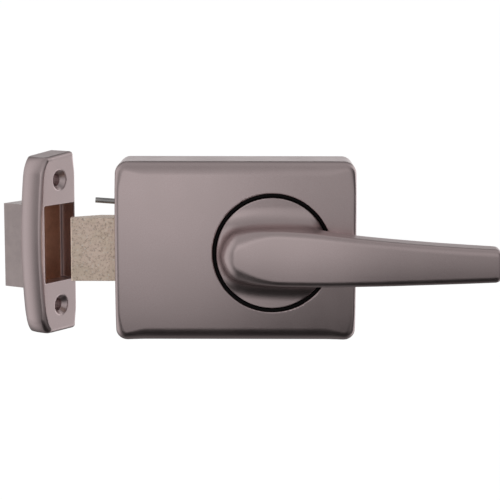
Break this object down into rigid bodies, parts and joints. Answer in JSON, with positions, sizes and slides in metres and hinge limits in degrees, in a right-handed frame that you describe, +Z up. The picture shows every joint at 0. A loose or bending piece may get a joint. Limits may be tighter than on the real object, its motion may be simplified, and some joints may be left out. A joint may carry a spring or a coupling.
{
  "type": "rim night latch",
  "caption": "Surface-mounted door latch with an inside lever handle, a thrown latch bolt with a deadlocking trigger, and a separate box strike.",
  "frame": {"origin": "on the face that lies against the door, where the lever's axis meets it", "axes": "+X from the bolt towards the lever's tip, +Y into the door, +Z up; the room is on the -Y side"},
  "size_m": [0.1899, 0.0743, 0.0716],
  "materials": {
    "satin_casting": "satin chrome on a zinc die casting",
    "machined_steel": "bright machined steel",
    "plated_sheet": "zinc-plated pressed sheet steel",
    "black_plastic": "black moulded nylon",
    "brass": "plain machined brass",
    "bare_bolt": "sintered stainless steel, satin with a fine speckle"
  },
  "bodies": {
    "case": {"case_cover": "satin_casting", "chassis_plate": "plated_sheet", "chassis_screws": "machined_steel", "door_plate": "plated_sheet", "case_screws": "machined_steel", "bearing_ring": "black_plastic", "bolt_guide": "black_plastic", "bolt_spring_rod": "machined_steel", "bolt_spring": "machined_steel", "pawl_pin": "machined_steel", "pawl_spring": "machined_steel", "trigger_spring": "machined_steel", "lever_return_spring": "machined_steel"},
    "lever": {"lever_handle": "satin_casting", "lever_spindle": "machined_steel", "spindle_pin": "machined_steel", "lever_circlip": "machined_steel", "hub_cam": "machined_steel", "drive_pin": "machined_steel", "spindle_screw": "machined_steel"},
    "key_hub": {"tailbar_hub": "brass", "tailbar_circlip": "machined_steel"},
    "bolt": {"bolt_head": "bare_bolt", "bolt_tail": "machined_steel", "bolt_rivets": "machined_steel"},
    "trigger": {"trigger_wire": "machined_steel", "trigger_collar": "brass"},
    "pawl": {"deadlock_pawl": "brass"},
    "strike": {"strike_body": "satin_casting", "strike_box": "plated_sheet", "strike_rivets": "machined_steel"}
  },
  "joints": [
    {"name": "lever_turn", "type": "hinge", "parent": "case", "child": "lever", "pos_m": [0, 0, 0], "axis": [0, 1, 0], "range_deg": [0, 50], "stiffness_Nm_per_rad": 0.35, "springref_deg": -28.65, "deforming": ["lever_return_spring"]},
    {"name": "bolt_slide", "type": "slide", "parent": "case", "child": "bolt", "axis": [1, 0, 0], "range_m": [0, 0.018], "deforming": ["bolt_spring"]},
    {"name": "key_turn", "type": "hinge", "parent": "case", "child": "key_hub", "pos_m": [0, 0, 0], "axis": [0, 1, 0], "range_deg": [-20, 20]},
    {"name": "strike_place", "type": "hinge", "parent": "case", "child": "strike", "pos_m": [-0.05014, 0.02809, 0], "axis": [0, 0, 1], "range_deg": [0, 32.1]},
    {"name": "trigger_slide", "type": "slide", "parent": "case", "child": "trigger", "axis": [1, 0, 0], "range_m": [0, 0.006], "deforming": ["trigger_spring"]},
    {"name": "pawl_swing", "type": "hinge", "parent": "case", "child": "pawl", "pos_m": [-0.0535, -0.0119, 0.025], "axis": [0, 1, 0], "range_deg": [0, 5], "deforming": ["pawl_spring"]}
  ],
  "couplings": [
    {"joint": "bolt_slide", "follows": "lever_turn", "m_per_rad": 0.020626},
    {"joint": "trigger_slide", "follows": "strike_place", "m_per_rad": 0.010709},
    {"joint": "pawl_swing", "follows": "strike_place", "ratio": 0.15576}
  ]
}
